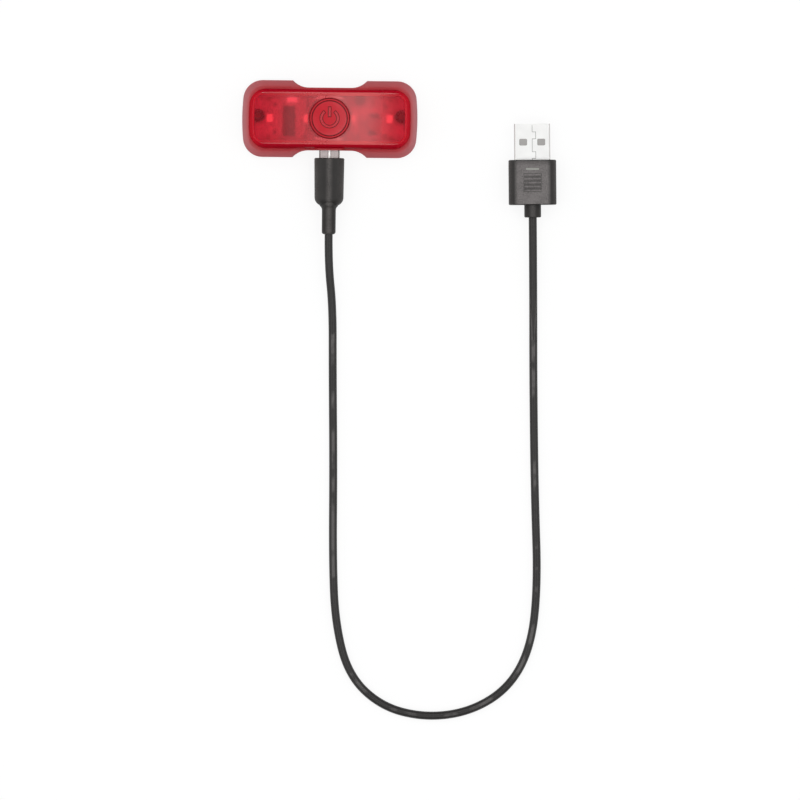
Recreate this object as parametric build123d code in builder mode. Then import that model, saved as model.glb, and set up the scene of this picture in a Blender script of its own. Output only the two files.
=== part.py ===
from build123d import *
import math
import os

os.makedirs("parts", exist_ok=True)

# A helmet rear light with its charging cable, lying on its back.
# Millimetres. The origin is the middle of the light's back, +Z leaves the red front face,
# +X runs along the light and -Y points to the charging port.

# Light: outline and shell
body_length = 53.7
body_width = 19.7
body_corner = 5.0
end_radius = 70.0
wall = 1.5
front_wall = 1.4
draft = 2.5
front_round = 1.3
flange_end_reach = 2.3
flange_side_reach = 2.93
flange_corner = 6.5
flange_edge = 0.9
flange_rise = 0.8
flange_run = 2.0
notch_mouth = 24.7
notch_lip = 0.6
notch_flank_angle = 42.0
notch_round = 7.0

# Rear cover, its seal and its screws
cover_thickness = 1.0
cover_chamfer = 0.4
cover_fit_gap = 0.12
rim_thickness = 0.9
rim_height = 1.2
seal_thickness = 0.3
seal_margin = 0.25
screw_inset = 2.95
screw_side_step = 0.8
screw_thread_radius = 1.0
screw_head_radius = 1.9
screw_head_height = 0.75
screw_recess_depth = 0.9
screw_length = 6.5
screw_gap = 0.1
boss_radius = 2.1
cover_pad_radius = 2.8
screw_head_chamfer = 0.2
driver_slot_width = 0.45
driver_slot_depth = 0.5
driver_slot_margin = 0.45

# Circuit board and what holds it
port_height = 5.3
board_thickness = 1.0
board_gap = 0.25
post_x = 20.3
post_y = 6.3
post_radius = 1.0
peg_radius = 0.5
peg_gap = 0.1
peg_stand_out = 0.3

# Push button
button_radius = 6.6
button_gap = 0.15
button_rim_width = 0.65
button_rim_rise = 0.15
button_rim_inner_edge = 0.1
button_rim_outer_edge = 0.15
button_groove_width = 0.2
button_groove_depth = 0.4
button_dish_depth = 0.3
button_top_thickness = 1.15
button_skirt = 0.9
button_lip = 0.65
button_lip_height = 0.5
button_stop_gap = 0.1
button_travel = 0.35
collar_height = 1.0
collar_wall = 0.7
ring_groove_height = 0.6
ring_groove_depth = 0.4
ring_groove_level = 1.35
ring_rub_gap = 0.03
post_tip_radius = 1.4
symbol_radius = 2.75
symbol_line = 0.7
symbol_opening = 76.0
symbol_bar_top = 3.75
symbol_bar_bottom = 0.6
symbol_relief = 0.3

# Push switch under the button
switch_side = 5.2
switch_corner = 0.5
switch_base_height = 0.8
switch_plate = 0.2
switch_height = 2.0
switch_stem_radius = 0.9
switch_stem_gap = 0.1
switch_well_radius = 1.9
switch_foot_radius = 1.7
switch_foot_height = 0.13
switch_foot_gap = 0.02
dome_thickness = 0.08
dome_clearance = 0.02

# Light sources and other parts on the board
led_x = (-19.9, -7.6, 7.6, 19.9)
led_long = 3.5
led_short = 2.8
led_height = 0.8
led_clearance = 0.25
led_window_margin = 0.45
led_window_depth = 0.3
led_window_sink = 0.05
chip_x = -13.5
chip_y = -0.9
chip_width = 3.9
chip_length = 9.9
chip_height = 1.6
chip_stand_off = 0.12
chip_bevel = 0.25
lead_pairs = 8
lead_pitch = 1.27
lead_span = 6.0
lead_width = 0.42
lead_thickness = 0.2
lead_foot = 0.6
indicator_place = (-12.5, 6.2)
indicator_size = (3.2, 1.6, 0.9)
indicator_chamfer = 0.15
inductor_place = (9.9, 6.0)
inductor_side = 3.0
inductor_corner = 0.5
inductor_height = 1.3
transistor_places = ((14.0, -4.6), (14.8, 1.0))
transistor_size = (2.9, 1.3, 1.0)
transistor_chamfer = 0.15
transistor_pin_width = 0.4
transistor_pin_reach = 0.55
transistor_pin_step = 0.95
transistor_pin_height = 0.35
resistor_size = (1.6, 0.8, 0.45)
resistor_end = 0.3
resistor_places = (
    (-18.2, 4.6),
    (-18.2, -4.6),
    (-7.4, 5.8),
    (-7.4, 4.2),
    (-8.2, -5.8),
    (18.4, 4.0),
    (11.8, -1.6),
)
capacitor_size = (2.0, 1.25, 0.8)
capacitor_end = 0.35
capacitor_places = ((-7.4, -4.0), (9.4, -5.6), (14.4, 5.2), (18.4, -5.6))

# Charging socket on the back of the board
socket_width = 7.5
socket_height = 2.6
socket_wall = 0.25
socket_cut = 0.8
socket_length = 5.6
socket_recess = 0.35
socket_gap = 0.12
socket_block = 1.2
tongue_width = 3.9
tongue_length = 3.5
tongue_low = -0.10
tongue_high = 0.45
pin_count = 5
pin_pitch = 0.65
pin_width = 0.25
pin_thickness = 0.08
pin_set_back = 0.3
pin_tail_gap = 0.15
pin_tail_thickness = 0.14
pin_foot = 0.8
port_collar_width = 10.0
port_collar_height = 5.0
port_collar_corner = 2.4
port_collar_reach = 0.6

# Battery
battery_length = 35.6
battery_width = 10.5
battery_height = 4.0
battery_x = -0.6
battery_y = 1.85
battery_round = 1.2
tape_length = 28.0
tape_width = 7.0
tape_thickness = 0.4
strip_thickness = 1.0
strip_width = 9.0
strip_height = 3.0
wire_radius = 0.45
wire_bend = 0.8
wire_reach = 1.2
red_wire_y = 3.4
black_wire_y = 0.4

# Small plug of the cable
plug_width = 6.85
plug_height = 1.8
plug_wall = 0.25
plug_cut = 0.55
plug_shell_length = 7.1
plug_stand_off = 3.2
plug_tail = 1.0
plug_insert_set_back = 0.25
plug_slot_width = 4.2
plug_slot_gap = 0.10
plug_slot_end_gap = 0.4
plug_pin_width = 0.3
plug_pin_rise = 0.05
plug_pin_sink = 0.1
plug_seam_step = 0.33
plug_seam_width = 0.12
plug_seam_depth = 0.1
latch_size = (0.6, 1.1, 0.08)
latch_step = 1.9
latch_set_back = 0.7
small_grip_width = 10.0
small_grip_height = 7.4
small_grip_corner = 3.2
small_grip_length = 15.8
small_grip_taper = 0.8
small_grip_shoulder = 2.7
small_grip_front_round = 0.4
neck_start_radius = 3.1
neck_flare = 1.5
neck_waist_radius = 2.32
neck_end_radius = 2.3
neck_length = 9.5
neck_root = 1.0
neck_end_round = 0.8

# Cord: hand-chosen points of its route, from the small plug to the large one
cord_diameter = 2.7
cord_route = (
    (0.0, -38.35, 5.3),
    (0.0, -48.3, 5.3),
    (1.55, -62.3, 1.5),
    (1.75, -84.0, 1.4),
    (2.3, -116.0, 1.4),
    (2.35, -146.0, 1.4),
    (3.35, -167.2, 1.4),
    (7.9, -184.8, 1.4),
    (18.9, -195.2, 1.4),
    (33.7, -198.8, 1.4),
    (48.8, -196.6, 1.4),
    (61.5, -188.5, 1.4),
    (68.65, -174.8, 1.4),
    (70.65, -154.2, 1.4),
    (69.35, -124.0, 1.4),
    (68.55, -88.0, 1.4),
    (68.3, -63.4, 1.5),
    (68.1, -51.0, 2.6),
    (67.94, -41.1, 4.0),
    (67.78, -32.1, 4.0),
)

# Large plug of the cable
relief_length = 4.2
relief_root = 1.0
relief_radius = 2.8
large_grip_width = 15.85
large_grip_height = 8.0
large_grip_length = 14.9
large_grip_corner = 2.3
large_grip_end_round = 0.4
mark_length = 4.4
mark_width = 0.65
mark_depth = 0.3
mark_corner = 0.2
mark_from_front = 3.05
rib_count = 5
rib_length = 5.6
rib_width = 0.55
rib_pitch = 1.3
rib_rise = 0.2
rib_corner = 0.2
ribs_from_front = 7.6
usb_width = 12.0
usb_height = 4.5
usb_wall = 0.3
usb_corner = 0.5
usb_length = 12.0
usb_tail = 2.0
usb_hole_length = 2.6
usb_hole_width = 2.2
usb_hole_corner = 0.4
usb_hole_step = 3.0
usb_hole_from_tip = 6.1
seam_width = 0.16
seam_jog = 1.16
seam_turns_from_tip = (2.7, 5.0, 9.3, 11.5)
usb_tongue_height = 1.9
usb_tongue_set_back = 0.5
usb_pin_thickness = 0.15
usb_pin_width = 1.0
usb_pin_length = 6.9
usb_pins = ((-3.5, 0.0), (-1.0, 1.0), (1.0, 1.0), (3.5, 0.0))
usb_pin_set_back = 0.5

# How close two places count as the same when corners are picked
same_place = 0.01

# Levels that follow from the sizes above
shell_bottom = cover_thickness + seal_thickness
boss_bottom = cover_thickness + rim_height
board_back = port_height + socket_height / 2
board_front = board_back + board_thickness
led_top = board_front + led_height
lip_bottom = led_top + led_clearance + button_travel
lip_top = lip_bottom + button_lip_height
collar_bottom = lip_top + button_stop_gap
ceiling = collar_bottom + collar_height
front_height = ceiling + front_wall
screw_x = body_length / 2 - screw_inset
hole_radius = button_radius + button_gap
plunger_top = board_front + switch_height
body_half_width = body_width / 2
socket_front = body_half_width - socket_recess
socket_back = socket_front - socket_length
grip_front = body_half_width + plug_stand_off
plug_tip = grip_front - plug_shell_length
neck_end = grip_front + small_grip_length + neck_length


# Outlines shared by the shell, the cover, the seal and the board

def bar_face(height, length, width, corner):
    """A rounded bar at a height, its two short ends bowed outwards."""
    bow = end_radius - math.sqrt(end_radius**2 - (width / 2) ** 2)
    side = length / 2 - bow
    half = width / 2
    with BuildSketch(Plane.XY.offset(height)) as bar:
        with BuildLine():
            Line((-side, -half), (side, -half))
            ThreePointArc((side, -half), (length / 2, 0), (side, half))
            Line((side, half), (-side, half))
            ThreePointArc((-side, half), (-length / 2, 0), (-side, -half))
        make_face()
        fillet(bar.vertices(), corner)
    return bar.sketch


def body_face(height, inset=0.0):
    """The outline of the raised body, drawn in by an inset."""
    return bar_face(height, body_length - 2 * inset, body_width - 2 * inset, body_corner - inset)


def draft_inset(height):
    """How far the drafted walls stand in at a height."""
    return (height - shell_bottom) * math.tan(math.radians(draft))


def cavity_face(height, gap, measured_at):
    """The space inside the walls as it is at one height, drawn in by a gap."""
    return body_face(height, wall + draft_inset(measured_at) + gap)


def flange_face(height):
    """The outline of the flange, with a notch in the middle of each long side."""
    length = body_length + 2 * flange_end_reach
    width = body_width + 2 * flange_side_reach
    half = width / 2
    bow = end_radius - math.sqrt(end_radius**2 - half**2)
    side = length / 2 - bow
    floor = body_half_width + notch_lip
    mouth = notch_mouth / 2
    foot = mouth - (half - floor) / math.tan(math.radians(notch_flank_angle))
    with BuildSketch(Plane.XY.offset(height)) as flange:
        with BuildLine():
            for way in (1, -1):
                Polyline(
                    (-side, way * half),
                    (-mouth, way * half),
                    (-foot, way * floor),
                    (foot, way * floor),
                    (mouth, way * half),
                    (side, way * half),
                )
                ThreePointArc((way * side, half), (way * length / 2, 0), (way * side, -half))
        make_face()
        fillet(flange.vertices().filter_by(lambda v: abs(abs(v.X) - side) < same_place), flange_corner)
        fillet(flange.vertices().filter_by(lambda v: abs(abs(v.X) - foot) < same_place), notch_round)
    return flange.sketch


def screw_spots():
    """Where the two cover screws stand, on the XY plane."""
    return [(screw_x, screw_side_step), (-screw_x, screw_side_step)]


def port_plane(distance):
    """A plane across the charging port's axis, at a distance from the light's middle."""
    return Plane(origin=(0, -distance, port_height), x_dir=(1, 0, 0), z_dir=(0, -1, 0))


def port_outline(distance, width, height, cut, inset=0.0):
    """The port's outline: square upper corners and sloped lower ones, drawn in by an inset."""
    half = width / 2 - inset
    top = height / 2 - inset
    slope = cut - inset * (2 - math.sqrt(2))
    with BuildSketch(port_plane(distance)) as outline:
        Polygon(
            (-half, top),
            (half, top),
            (half, slope - top),
            (half - slope, -top),
            (slope - half, -top),
            (-half, slope - top),
            align=None,
        )
    return outline.sketch


# Front shell: red see-through body with the flange that the helmet holds

with BuildPart() as front_shell:
    extrude(flange_face(shell_bottom), amount=flange_edge + flange_rise)
    flange_top = front_shell.faces().sort_by(Axis.Z)[-1]
    chamfer(flange_top.edges(), length=flange_run, length2=flange_rise, reference=flange_top)
    extrude(body_face(shell_bottom), amount=front_height - shell_bottom, taper=draft)
    fillet(front_shell.faces().sort_by(Axis.Z)[-1].edges(), front_round)
    with BuildSketch(Plane.XZ.offset(body_half_width - wall)):
        with Locations((0, port_height)):
            RectangleRounded(port_collar_width, port_collar_height, port_collar_corner)
    extrude(amount=wall + port_collar_reach)
    extrude(
        cavity_face(shell_bottom, 0, shell_bottom),
        amount=ceiling - shell_bottom,
        taper=draft,
        mode=Mode.SUBTRACT,
    )
    with BuildSketch(Plane.XY.offset(boss_bottom)):
        with Locations(*screw_spots()):
            Circle(boss_radius)
    extrude(amount=ceiling - boss_bottom)
    with BuildSketch(Plane.XY.offset(collar_bottom)):
        Circle(hole_radius + collar_wall)
    extrude(amount=collar_height)
    with BuildSketch(Plane.XY.offset(collar_bottom)):
        Circle(hole_radius)
    extrude(amount=front_height - collar_bottom, mode=Mode.SUBTRACT)
    with BuildSketch(Plane.XY.offset(boss_bottom)):
        with Locations(*screw_spots()):
            Circle(screw_thread_radius)
    extrude(amount=screw_recess_depth + screw_length + screw_gap - boss_bottom, mode=Mode.SUBTRACT)
    extrude(
        port_outline(0, socket_width, socket_height, socket_cut, -socket_gap),
        amount=body_half_width + 2 * port_collar_reach,
        mode=Mode.SUBTRACT,
    )
front_shell.part.label = "front_shell"
export_step(front_shell.part, "parts/front_shell.step")


# Rear cover: closes the back, with a rim inside the walls and posts that carry the board

with BuildPart() as rear_cover:
    extrude(body_face(0), amount=cover_thickness)
    chamfer(rear_cover.faces().sort_by(Axis.Z)[0].edges(), cover_chamfer)
    extrude(cavity_face(cover_thickness, cover_fit_gap, boss_bottom), amount=rim_height)
    extrude(
        cavity_face(cover_thickness, cover_fit_gap + rim_thickness, boss_bottom),
        amount=rim_height,
        mode=Mode.SUBTRACT,
    )
    with BuildSketch(Plane.XY.offset(cover_thickness)) as pads:
        with Locations(*screw_spots()):
            Circle(cover_pad_radius)
        add(cavity_face(cover_thickness, cover_fit_gap, boss_bottom), mode=Mode.INTERSECT)
    extrude(amount=rim_height)
    with BuildSketch(Plane.XY.offset(cover_thickness)):
        with GridLocations(2 * post_x, 2 * post_y, 2, 2):
            Circle(post_radius)
    extrude(amount=board_back - cover_thickness)
    with BuildSketch(Plane.XY.offset(board_back)):
        with GridLocations(2 * post_x, 2 * post_y, 2, 2):
            Circle(peg_radius)
    extrude(amount=board_thickness + peg_stand_out)
    with BuildSketch(Plane.XY):
        with Locations(*screw_spots()):
            Circle(screw_head_radius + screw_gap)
    extrude(amount=screw_recess_depth, mode=Mode.SUBTRACT)
    with BuildSketch(Plane.XY):
        with Locations(*screw_spots()):
            Circle(screw_thread_radius + screw_gap)
    extrude(amount=boss_bottom, mode=Mode.SUBTRACT)
rear_cover.part.label = "rear_cover"
export_step(rear_cover.part, "parts/rear_cover.step")


# Flat rubber seal between the shell and the rear cover

with BuildPart() as cover_seal:
    extrude(body_face(cover_thickness, seal_margin), amount=seal_thickness)
    extrude(
        cavity_face(cover_thickness, 0, shell_bottom), amount=seal_thickness, mode=Mode.SUBTRACT
    )
cover_seal.part.label = "cover_seal"
export_step(cover_seal.part, "parts/cover_seal.step")


# Two screws that draw the cover to the shell's bosses

head_bottom = screw_recess_depth - screw_head_height
with BuildPart() as cover_screws:
    with BuildSketch(Plane.XY.offset(head_bottom)):
        with Locations(*screw_spots()):
            Circle(screw_head_radius)
    extrude(amount=screw_head_height)
    chamfer(cover_screws.faces().group_by(Axis.Z)[0].edges(), screw_head_chamfer)
    with BuildSketch(Plane.XY.offset(screw_recess_depth)):
        with Locations(*screw_spots()):
            Circle(screw_thread_radius)
    extrude(amount=screw_length)
    with BuildSketch(Plane.XY.offset(head_bottom)):
        with Locations(*screw_spots()):
            Rectangle(2 * (screw_head_radius - driver_slot_margin), driver_slot_width)
            Rectangle(driver_slot_width, 2 * (screw_head_radius - driver_slot_margin))
    extrude(amount=driver_slot_depth, mode=Mode.SUBTRACT)
cover_screws.part.label = "cover_screws"
export_step(cover_screws.part, "parts/cover_screws.step")


# Push button: a dished cap with a raised ring, held from inside by its lip

rim_top = front_height + button_rim_rise
rim_inner = button_radius - button_rim_width
disc_radius = rim_inner - button_groove_width
disc_edge = front_height
cap_under = front_height - button_top_thickness
skirt_inner = button_radius - button_skirt
groove_middle = front_height - ring_groove_level
groove_top = groove_middle + ring_groove_height / 2
groove_bottom = groove_middle - ring_groove_height / 2

# The dish is an arc, which stands about a quarter of its depth up at half its radius
dish_half_level = disc_edge - 3 / 4 * button_dish_depth

with BuildPart() as button_cap:
    with BuildSketch(Plane.XZ):
        with BuildLine():
            ThreePointArc(
                (0, disc_edge - button_dish_depth),
                (disc_radius / 2, dish_half_level),
                (disc_radius, disc_edge),
            )
            Polyline(
                (disc_radius, disc_edge),
                (disc_radius, disc_edge - button_groove_depth),
                (rim_inner, disc_edge - button_groove_depth),
                (rim_inner, rim_top - button_rim_inner_edge),
                (rim_inner + button_rim_inner_edge, rim_top),
                (button_radius - button_rim_outer_edge, rim_top),
                (button_radius, rim_top - button_rim_outer_edge),
                (button_radius, groove_top),
                (button_radius - ring_groove_depth, groove_top),
                (button_radius - ring_groove_depth, groove_bottom),
                (button_radius, groove_bottom),
                (button_radius, lip_top),
                (button_radius + button_lip, lip_top),
                (button_radius + button_lip, lip_bottom),
                (skirt_inner, lip_bottom),
                (skirt_inner, cap_under),
                (post_tip_radius, cap_under),
                (post_tip_radius, plunger_top),
                (0, plunger_top),
                (0, disc_edge - button_dish_depth),
            )
        make_face()
    revolve(axis=Axis.Z)
    with BuildSketch(Plane.XY.offset(disc_edge - button_dish_depth)) as symbol:
        Circle(symbol_radius + symbol_line / 2)
        Circle(symbol_radius - symbol_line / 2, mode=Mode.SUBTRACT)
        reach = 2 * symbol_radius
        spread = reach * math.tan(math.radians(symbol_opening / 2))
        Polygon((0, 0), (spread, reach), (-spread, reach), align=None, mode=Mode.SUBTRACT)
        with Locations((0, (symbol_bar_top + symbol_bar_bottom) / 2)):
            SlotOverall(symbol_bar_top - symbol_bar_bottom, symbol_line, rotation=90)
    extrude(amount=symbol_relief)
button_cap.part.label = "button_cap"
export_step(button_cap.part, "parts/button_cap.step")


# Rubber ring in the button's groove, which keeps water out

ring_outer = hole_radius - ring_rub_gap
ring_inner = button_radius - ring_groove_depth
ring_section = (ring_outer - ring_inner) / 2
with BuildPart() as button_seal:
    with BuildSketch(Plane.XZ):
        with Locations(((ring_outer + ring_inner) / 2, groove_middle)):
            Circle(min(ring_section, ring_groove_height / 2))
    revolve(axis=Axis.Z)
button_seal.part.label = "button_seal"
export_step(button_seal.part, "parts/button_seal.step")


# Push switch: base with a well, contact dome, metal cover plate and plunger

base_top = board_front + switch_base_height
foot_top = base_top - switch_foot_gap
foot_bottom = foot_top - switch_foot_height
well_bottom = foot_bottom - button_travel - dome_clearance - dome_thickness

with BuildPart() as switch_base:
    with BuildSketch(Plane.XY.offset(board_front)):
        RectangleRounded(switch_side, switch_side, switch_corner)
    extrude(amount=switch_base_height)
    with BuildSketch(Plane.XY.offset(well_bottom)):
        Circle(switch_well_radius)
    extrude(amount=base_top - well_bottom, mode=Mode.SUBTRACT)
switch_base.part.label = "switch_base"
export_step(switch_base.part, "parts/switch_base.step")

with BuildPart() as switch_dome:
    with BuildSketch(Plane.XY.offset(well_bottom)):
        Circle(switch_foot_radius)
    extrude(amount=dome_thickness)
switch_dome.part.label = "switch_dome"
export_step(switch_dome.part, "parts/switch_dome.step")

with BuildPart() as switch_frame:
    with BuildSketch(Plane.XY.offset(base_top)):
        RectangleRounded(switch_side, switch_side, switch_corner)
        Circle(switch_stem_radius + switch_stem_gap, mode=Mode.SUBTRACT)
    extrude(amount=switch_plate)
switch_frame.part.label = "switch_frame"
export_step(switch_frame.part, "parts/switch_frame.step")

with BuildPart() as switch_plunger:
    with BuildSketch(Plane.XY.offset(foot_bottom)):
        Circle(switch_foot_radius)
    extrude(amount=switch_foot_height)
    with BuildSketch(Plane.XY.offset(foot_bottom)):
        Circle(switch_stem_radius)
    extrude(amount=plunger_top - foot_bottom)
switch_plunger.part.label = "switch_plunger"
export_step(switch_plunger.part, "parts/switch_plunger.step")


# Circuit board: fills the shell, with an open slot round each screw boss

with BuildPart() as circuit_board:
    extrude(cavity_face(board_back, board_gap, board_front), amount=board_thickness)
    with BuildSketch(Plane.XY.offset(board_back)):
        with Locations(*screw_spots()):
            Circle(boss_radius + board_gap)
        for way in (1, -1):
            with Locations((way * (screw_x + screw_inset / 2), screw_side_step)):
                Rectangle(screw_inset, 2 * (boss_radius + board_gap))
        with GridLocations(2 * post_x, 2 * post_y, 2, 2):
            Circle(peg_radius + peg_gap)
    extrude(amount=board_thickness, mode=Mode.SUBTRACT)
circuit_board.part.label = "circuit_board"
export_step(circuit_board.part, "parts/circuit_board.step")


# Four light sources: pale packages, each with a resin window in its top

def led_windows_face(height):
    """The four windows in the tops of the light sources."""
    with BuildSketch(Plane.XY.offset(height)) as windows:
        with Locations(*[(x, 0) for x in led_x]):
            RectangleRounded(
                led_short - 2 * led_window_margin,
                led_long - 2 * led_window_margin,
                led_window_margin,
            )
    return windows.sketch


with BuildPart() as led_packages:
    with BuildSketch(Plane.XY.offset(board_front)):
        with Locations(*[(x, 0) for x in led_x]):
            Rectangle(led_short, led_long)
    extrude(amount=led_height)
    extrude(
        led_windows_face(led_top - led_window_depth), amount=led_window_depth, mode=Mode.SUBTRACT
    )
led_packages.part.label = "led_packages"
export_step(led_packages.part, "parts/led_packages.step")

with BuildPart() as led_windows:
    extrude(
        led_windows_face(led_top - led_window_depth), amount=led_window_depth - led_window_sink
    )
led_windows.part.label = "led_windows"
export_step(led_windows.part, "parts/led_windows.step")


# Controller chip with its row of legs on each side

chip_bottom = board_front + chip_stand_off
leg_level = board_front + chip_height / 2
with BuildPart() as controller_chip:
    with BuildSketch(Plane.XY.offset(chip_bottom)):
        with Locations((chip_x, chip_y)):
            Rectangle(chip_width, chip_length)
    extrude(amount=chip_height - chip_stand_off)
    chamfer(controller_chip.faces().sort_by(Axis.Z)[-1].edges(), chip_bevel)
controller_chip.part.label = "controller_chip"
export_step(controller_chip.part, "parts/controller_chip.step")

leg_out = lead_span / 2
leg_in = chip_width / 2
leg_bend = leg_out - lead_foot
with BuildPart() as chip_legs:
    for index in range(lead_pairs):
        leg_y = chip_y + (index - (lead_pairs - 1) / 2) * lead_pitch
        with BuildSketch(Plane.XZ.offset(-leg_y - lead_width / 2)):
            for way in (1, -1):
                Polygon(
                    (chip_x + way * leg_in, leg_level),
                    (chip_x + way * (leg_bend + lead_thickness), leg_level),
                    (chip_x + way * (leg_bend + lead_thickness), board_front + lead_thickness),
                    (chip_x + way * leg_out, board_front + lead_thickness),
                    (chip_x + way * leg_out, board_front),
                    (chip_x + way * leg_bend, board_front),
                    (chip_x + way * leg_bend, leg_level - lead_thickness),
                    (chip_x + way * leg_in, leg_level - lead_thickness),
                    align=None,
                )
        extrude(amount=lead_width)
chip_legs.part.label = "chip_legs"
export_step(chip_legs.part, "parts/chip_legs.step")


# Small parts on the board's front

def board_blocks(places, length, width, height):
    """Equal upright blocks that stand on the board's front."""
    with BuildPart(mode=Mode.PRIVATE) as blocks:
        with BuildSketch(Plane.XY.offset(board_front)):
            with Locations(*places):
                Rectangle(length, width)
        extrude(amount=height)
    return blocks.part


with BuildPart() as charge_indicator:
    add(board_blocks([indicator_place], *indicator_size))
    chamfer(charge_indicator.faces().sort_by(Axis.Z)[-1].edges(), indicator_chamfer)
charge_indicator.part.label = "charge_indicator"
export_step(charge_indicator.part, "parts/charge_indicator.step")

with BuildPart() as power_inductor:
    add(board_blocks([inductor_place], inductor_side, inductor_side, inductor_height))
    chamfer(power_inductor.edges().filter_by(Axis.Z), inductor_corner)
power_inductor.part.label = "power_inductor"
export_step(power_inductor.part, "parts/power_inductor.step")

with BuildPart() as driver_transistors:
    add(board_blocks(transistor_places, *transistor_size))
    chamfer(driver_transistors.faces().group_by(Axis.Z)[-1].edges(), transistor_chamfer)
driver_transistors.part.label = "driver_transistors"
export_step(driver_transistors.part, "parts/driver_transistors.step")

pin_centre = transistor_size[1] / 2 + transistor_pin_reach / 2
with BuildPart() as transistor_pins:
    for x, y in transistor_places:
        spots = [
            (x - transistor_pin_step, y - pin_centre),
            (x + transistor_pin_step, y - pin_centre),
            (x, y + pin_centre),
        ]
        add(board_blocks(spots, transistor_pin_width, transistor_pin_reach, transistor_pin_height))
transistor_pins.part.label = "transistor_pins"
export_step(transistor_pins.part, "parts/transistor_pins.step")

with BuildPart() as resistor_bodies:
    length, width, height = resistor_size
    add(board_blocks(resistor_places, length - 2 * resistor_end, width, height))
resistor_bodies.part.label = "resistor_bodies"
export_step(resistor_bodies.part, "parts/resistor_bodies.step")

with BuildPart() as capacitor_bodies:
    length, width, height = capacitor_size
    add(board_blocks(capacitor_places, length - 2 * capacitor_end, width, height))
capacitor_bodies.part.label = "capacitor_bodies"
export_step(capacitor_bodies.part, "parts/capacitor_bodies.step")

with BuildPart() as solder_ends:
    for places, size, end in (
        (resistor_places, resistor_size, resistor_end),
        (capacitor_places, capacitor_size, capacitor_end),
    ):
        step = (size[0] - end) / 2
        for way in (1, -1):
            add(board_blocks([(x + way * step, y) for x, y in places], end, size[1], size[2]))
solder_ends.part.label = "solder_ends"
export_step(solder_ends.part, "parts/solder_ends.step")


# Charging socket: metal shell, insulating tongue and five contacts

pins = [(index - (pin_count - 1) / 2) * pin_pitch for index in range(pin_count)]
block_front = socket_back + socket_block
tongue_tip = block_front + tongue_length
pin_tip = tongue_tip - pin_set_back
tail_out = socket_back - pin_tail_gap
tail_in = tail_out - pin_tail_thickness

with BuildPart() as socket_shell:
    extrude(
        port_outline(socket_back, socket_width, socket_height, socket_cut), amount=socket_length
    )
    extrude(
        port_outline(socket_back, socket_width, socket_height, socket_cut, socket_wall),
        amount=socket_length,
        mode=Mode.SUBTRACT,
    )
socket_shell.part.label = "socket_shell"
export_step(socket_shell.part, "parts/socket_shell.step")

with BuildPart() as socket_contacts:
    for pin in pins:
        with BuildSketch(port_plane(tail_in)):
            with Locations((pin, tongue_low - pin_thickness / 2)):
                Rectangle(pin_width, pin_thickness)
        extrude(amount=pin_tip - tail_in)
        with BuildSketch(port_plane(tail_in)):
            with Locations((pin, (tongue_low - pin_thickness + socket_height / 2) / 2)):
                Rectangle(pin_width, socket_height / 2 - tongue_low + pin_thickness)
        extrude(amount=pin_tail_thickness)
        with BuildSketch(port_plane(tail_out - pin_foot)):
            with Locations((pin, (socket_height - pin_tail_thickness) / 2)):
                Rectangle(pin_width, pin_tail_thickness)
        extrude(amount=pin_foot)
socket_contacts.part.label = "socket_contacts"
export_step(socket_contacts.part, "parts/socket_contacts.step")

with BuildPart() as socket_tongue:
    extrude(
        port_outline(socket_back, socket_width, socket_height, socket_cut, socket_wall),
        amount=socket_block,
    )
    with BuildSketch(port_plane(block_front)):
        with Locations((0, (tongue_low + tongue_high) / 2)):
            Rectangle(tongue_width, tongue_high - tongue_low)
    extrude(amount=tongue_length)
    add(socket_contacts.part, mode=Mode.SUBTRACT)
socket_tongue.part.label = "socket_tongue"
export_step(socket_tongue.part, "parts/socket_tongue.step")


# Battery: pouch cell on a tape, protection strip at its end and two leads to the board

cell_bottom = cover_thickness + tape_thickness
cell_end = battery_x + battery_length / 2
strip_level = cell_bottom + battery_height / 2

with BuildPart() as battery_tape:
    with BuildSketch(Plane.XY.offset(cover_thickness)):
        with Locations((battery_x, battery_y)):
            Rectangle(tape_length, tape_width)
    extrude(amount=tape_thickness)
battery_tape.part.label = "battery_tape"
export_step(battery_tape.part, "parts/battery_tape.step")

with BuildPart() as battery_cell:
    with BuildSketch(Plane.XY.offset(cell_bottom)):
        with Locations((battery_x, battery_y)):
            RectangleRounded(battery_length, battery_width, battery_round)
    extrude(amount=battery_height)
    fillet(battery_cell.faces().sort_by(Axis.Z)[-1].edges(), battery_round / 2)
battery_cell.part.label = "battery_cell"
export_step(battery_cell.part, "parts/battery_cell.step")

with BuildPart() as battery_guard:
    with BuildSketch(Plane.YZ.offset(cell_end)):
        with Locations((battery_y, strip_level)):
            Rectangle(strip_width, strip_height)
    extrude(amount=strip_thickness)
battery_guard.part.label = "battery_guard"
export_step(battery_guard.part, "parts/battery_guard.step")


def battery_lead(side):
    """An insulated wire from the protection strip up to the board's back."""
    start = cell_end + strip_thickness
    with BuildPart() as lead:
        with BuildLine() as run:
            FilletPolyline(
                (start, side, strip_level),
                (start + wire_reach, side, strip_level),
                (start + wire_reach, side, board_back),
                radius=wire_bend,
            )
        wire_path = run.wires()[0]
        with BuildSketch(Plane(wire_path @ 0, z_dir=wire_path % 0)):
            Circle(wire_radius)
        sweep(path=wire_path)
    return lead.part


battery_lead_red = battery_lead(red_wire_y)
battery_lead_red.label = "battery_lead_red"
export_step(battery_lead_red, "parts/battery_lead_red.step")

battery_lead_black = battery_lead(black_wire_y)
battery_lead_black.label = "battery_lead_black"
export_step(battery_lead_black, "parts/battery_lead_black.step")


# Small plug: metal shell, insulating insert, contacts, latches and moulded grip

plug_tail_end = grip_front + plug_tail
insert_front = plug_tip + plug_insert_set_back
slot_low = tongue_low - pin_thickness - plug_slot_gap
slot_high = tongue_high + plug_slot_gap
slot_end = tongue_tip + plug_slot_end_gap
plug_pin_high = slot_low + plug_pin_rise

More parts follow.
